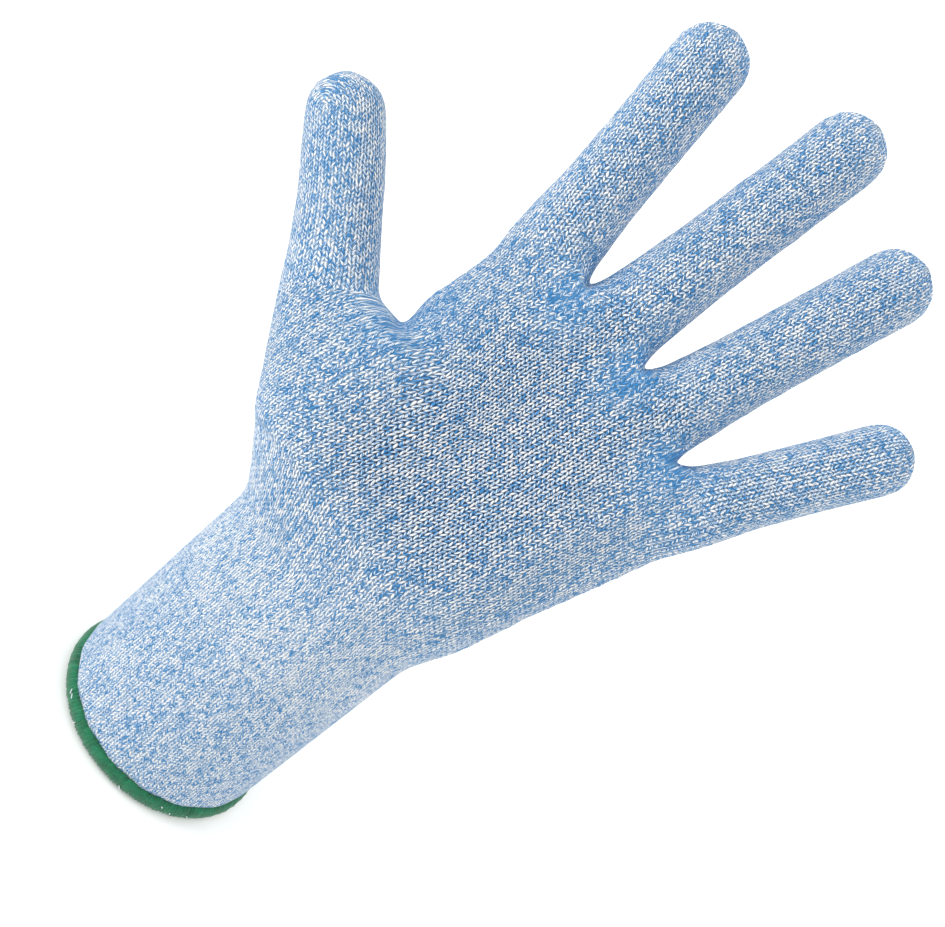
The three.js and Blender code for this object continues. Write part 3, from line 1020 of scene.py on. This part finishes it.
def addRing(name, major, minor, majorSegments, minorSegments):
    bpy.ops.object.select_all(action="DESELECT")
    bpy.ops.mesh.primitive_torus_add(
        major_radius=major, minor_radius=minor, major_segments=majorSegments, minor_segments=minorSegments
    )
    ring = bpy.context.object
    ring.name = name
    return ring


def putInPlace(piece, matrix):
    piece.data.transform(matrix)
    piece.data.update()


def frameOf(place, x, y, z):
    return Matrix.Translation(place) @ Matrix((x, y, z)).transposed().to_4x4()


def addHem():
    low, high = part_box("hem_overlock")
    core = addRing("hemOverlock", 1.0, hem["coreRing"], 160, 10)
    halfX, halfY = hemHalves()
    spots = readSpots(core.data)
    radius = np.hypot(spots[:, 0], spots[:, 1])
    turn = np.arctan2(spots[:, 1], spots[:, 0])
    out = (radius - 1) / hem["coreRing"] * hem["coreThickness"]
    spots[:, 0] = np.cos(turn) * (halfX + out)
    spots[:, 1] = np.sin(turn) * (halfY + out)
    spots[:, 2] = spots[:, 2] / hem["coreRing"] * (high.z - low.z) * 0.44 + (low.z + high.z) / 2
    writeSpots(core.data, spots)
    wrap = addRing("hemWrap", 1.0, hem["wrapRing"], 14, 5)
    threads = [core]
    tall = (high.z - low.z) / 2 - hem["threadRadius"] * 0.5
    for i in range(hem["wraps"]):
        share = (i + rng.uniform(-0.16, 0.16)) / hem["wraps"]
        place, outward, onward = hemRing(share)
        thread = copyOf(wrap, f"hemWrap{i}")
        points = readSpots(thread.data)
        ring = np.hypot(points[:, 0], points[:, 1])
        angle = np.arctan2(points[:, 1], points[:, 0])
        thick = (ring - 1) / hem["wrapRing"] * hem["threadRadius"]
        height = tall * rng.uniform(0.9, 1.12)
        tilt = rng.uniform(0.1, 0.5)
        points[:, 2] *= hem["threadRadius"] * 1.25 / hem["wrapRing"]
        points[:, 2] += np.sin(angle) * height * tilt * 0.5
        points[:, 0] = np.cos(angle) * (hem["coreThickness"] * rng.uniform(0.98, 1.15) + thick)
        points[:, 1] = np.sin(angle) * (height + thick) + rng.uniform(-0.0001, 0.00015)
        points[:, 1] = np.maximum(points[:, 1], -(high.z - low.z) / 2)
        writeSpots(thread.data, points)
        putInPlace(thread, frameOf(place, outward, Vector((0, 0, 1)), onward))
        threads.append(thread)
    bpy.data.objects.remove(wrap)
    return joinPieces(threads, "hemOverlock")


def finishHem():
    piece = addHem()
    piece.data.materials.clear()
    piece.data.materials.append(overlockYarn)
    onlySelect(piece)
    bpy.ops.object.mode_set(mode="EDIT")
    bpy.ops.mesh.select_all(action="SELECT")
    bpy.ops.mesh.normals_make_consistent(inside=False)
    bpy.ops.object.mode_set(mode="OBJECT")
    bpy.ops.object.shade_smooth_by_angle(angle=math.radians(60))
    return piece


def addStrayEnds():  # short ends of the white yarn, caught in the overlock
    ends = []
    low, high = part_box("hem_overlock")
    for _ in range(hem["strayEnds"]):
        place, outward, onward = hemRing(rng.uniform(0, 1))
        bpy.ops.object.select_all(action="DESELECT")
        bpy.ops.mesh.primitive_cylinder_add(vertices=6, radius=0.0002, depth=0.0015, end_fill_type="TRIFAN")
        end = bpy.context.object
        applyModifier(end, "SUBSURF", levels=1, render_levels=1)
        upward = Vector((0, 0, 1)) * 0.8 + outward * rng.uniform(-0.1, 0.3)
        upward = (upward + onward * rng.uniform(-1, 1)).normalized()
        aside = upward.cross(outward).normalized()
        middle = place + outward * 0.0018 + Vector((0, 0, rng.uniform(-0.5, 0.7) * (high.z - low.z) / 2))
        putInPlace(end, frameOf(middle, aside.cross(upward), aside, upward))
        ends.append(end)
    piece = joinPieces(ends, "hemStrayEnds")
    piece.data.materials.clear()
    piece.data.materials.append(strayYarn)
    return piece


hemPiece = finishHem()
strayEnds = addStrayEnds()

print("glove: the cuff, palm and hem on their bodies, the other pieces baked in place")


def putOnBodies():
    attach(pieces["cuff"], "cuff")
    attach(pieces["palm"], "palm")
    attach(hemPiece, "cuff")
    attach(strayEnds, "cuff")
    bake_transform(pieces["wrist"])
    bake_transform(pieces["knuckles"])
    for name, cuts in digitCuts.items():
        for zone in cuts:
            spots = readSpots(nodes[f"{name}_{zone}"].data)
            i = lines[name].zones.index(zone) + 1
            heading = np.array(lines[name].heading(i))
            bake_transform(pieces[f"{name}_{zone}"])


def standForNodes():
    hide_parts("cuff_rib")
    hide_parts("wrist_fold")
    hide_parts("palm_main")
    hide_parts("knuckle_fold_band", "palm_upper")
    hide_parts("hem_overlock")
    for name, line in lines.items():
        keeper = None
        for zone in line.zones:
            keeper = pieces.get(f"{name}_{zone}", keeper)
            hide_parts(f"{name}_{zone}")
    elastic = nodes["cuff_elastic_yarn"]
    elastic.data.materials.clear()
    elastic.data.materials.append(elasticYarn)


putOnBodies()
standForNodes()
